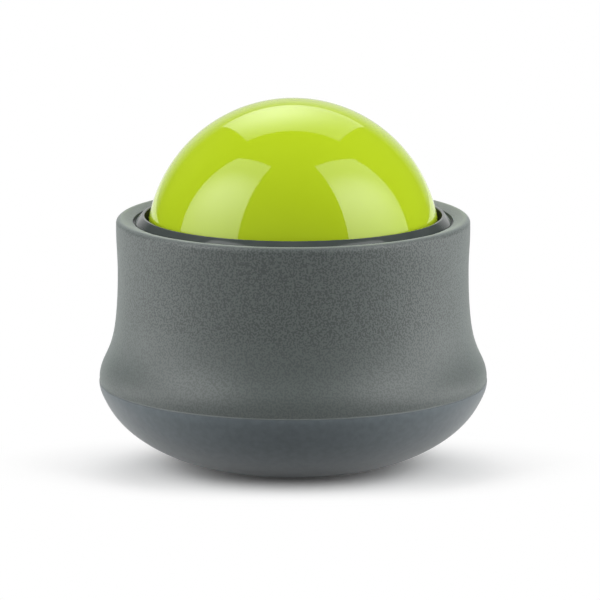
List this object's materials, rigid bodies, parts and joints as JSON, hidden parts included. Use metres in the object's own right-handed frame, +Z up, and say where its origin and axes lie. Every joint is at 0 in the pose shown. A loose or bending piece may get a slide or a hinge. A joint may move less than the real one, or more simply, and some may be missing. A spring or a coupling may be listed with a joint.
{
  "type": "foot massage roller",
  "caption": "Round standing foot massager: a glossy captive ball rolls every way on a ring of small bearing balls inside a waisted soft-grip base.",
  "frame": {"origin": "on the floor under the centre of the ball, at the underside of the foot pad", "axes": "+Z up along the axis of the round base; X and Y level, with one support ball on +X"},
  "size_m": [0.1006, 0.1006, 0.0952],
  "materials": {
    "grip_sleeve": "soft-touch moulding with a fine leather grain",
    "base_shell": "fine satin moulding",
    "socket_housing": "satin moulding",
    "retaining_ring": "glossy moulding",
    "acetal": "slippery natural moulding",
    "foot_rubber": "matt rubber with ring grooves",
    "screw_steel": "zinc plated",
    "bearing_steel": "polished",
    "ball_inside": "plain moulding",
    "ball_green": "high gloss"
  },
  "bodies": {
    "base": {"grip_sleeve": "grip_sleeve", "base_shell": "base_shell", "socket_housing": "socket_housing", "retaining_ring": "retaining_ring", "bearing_cradle": "acetal", "ball_keeper": "acetal", "foot_pad": "foot_rubber", "base_screws": "screw_steel", "cradle_screws": "screw_steel"},
    "ball_core": {"ball_core": "ball_inside"},
    "ball_body": {"ball_body": "ball_inside"},
    "ball_skin": {"ball_skin": "ball_green"},
    "support_ball_1": {"support_ball_1": "bearing_steel"},
    "support_ball_2": {"support_ball_2": "bearing_steel"},
    "support_ball_3": {"support_ball_3": "bearing_steel"},
    "support_ball_4": {"support_ball_4": "bearing_steel"},
    "support_ball_5": {"support_ball_5": "bearing_steel"},
    "support_ball_6": {"support_ball_6": "bearing_steel"},
    "support_ball_7": {"support_ball_7": "bearing_steel"},
    "support_ball_8": {"support_ball_8": "bearing_steel"}
  },
  "joints": [
    {"name": "ball_roll_forward", "type": "hinge", "parent": "base", "child": "ball_core", "pos_m": [0, 0, 0.0572], "axis": [1, 0, 0], "continuous": true},
    {"name": "ball_roll_sideways", "type": "hinge", "parent": "ball_core", "child": "ball_body", "pos_m": [0, 0, 0.0572], "axis": [0, 1, 0], "continuous": true},
    {"name": "ball_spin", "type": "hinge", "parent": "ball_body", "child": "ball_skin", "pos_m": [0, 0, 0.0572], "axis": [0, 0, 1], "continuous": true},
    {"name": "support_ball_1_roll", "type": "hinge", "parent": "base", "child": "support_ball_1", "pos_m": [0.02703, 0, 0.02499], "axis": [0.766, 0, 0.6428], "continuous": true},
    {"name": "support_ball_2_roll", "type": "hinge", "parent": "base", "child": "support_ball_2", "pos_m": [0.01911, 0.01911, 0.02499], "axis": [0.8907, -0.2319, 0.3909], "continuous": true},
    {"name": "support_ball_3_roll", "type": "hinge", "parent": "base", "child": "support_ball_3", "pos_m": [0, 0.02703, 0.02499], "axis": [1, 0, 0], "continuous": true},
    {"name": "support_ball_4_roll", "type": "hinge", "parent": "base", "child": "support_ball_4", "pos_m": [-0.01911, 0.01911, 0.02499], "axis": [0.8907, 0.2319, -0.3909], "continuous": true},
    {"name": "support_ball_5_roll", "type": "hinge", "parent": "base", "child": "support_ball_5", "pos_m": [-0.02703, 0, 0.02499], "axis": [0.766, 0, -0.6428], "continuous": true},
    {"name": "support_ball_6_roll", "type": "hinge", "parent": "base", "child": "support_ball_6", "pos_m": [-0.01911, -0.01911, 0.02499], "axis": [0.8907, -0.2319, -0.3909], "continuous": true},
    {"name": "support_ball_7_roll", "type": "hinge", "parent": "base", "child": "support_ball_7", "pos_m": [0, -0.02703, 0.02499], "axis": [1, 0, 0], "continuous": true},
    {"name": "support_ball_8_roll", "type": "hinge", "parent": "base", "child": "support_ball_8", "pos_m": [0.01911, -0.01911, 0.02499], "axis": [0.8907, 0.2319, 0.3909], "continuous": true}
  ],
  "couplings": [
    {"joint": "support_ball_1_roll", "follows": "ball_roll_forward", "ratio": -7.2774},
    {"joint": "support_ball_2_roll", "follows": "ball_roll_forward", "ratio": -8.462},
    {"joint": "support_ball_3_roll", "follows": "ball_roll_forward", "ratio": -9.5},
    {"joint": "support_ball_4_roll", "follows": "ball_roll_forward", "ratio": -8.462},
    {"joint": "support_ball_5_roll", "follows": "ball_roll_forward", "ratio": -7.2774},
    {"joint": "support_ball_6_roll", "follows": "ball_roll_forward", "ratio": -8.462},
    {"joint": "support_ball_7_roll", "follows": "ball_roll_forward", "ratio": -9.5},
    {"joint": "support_ball_8_roll", "follows": "ball_roll_forward", "ratio": -8.462}
  ]
}
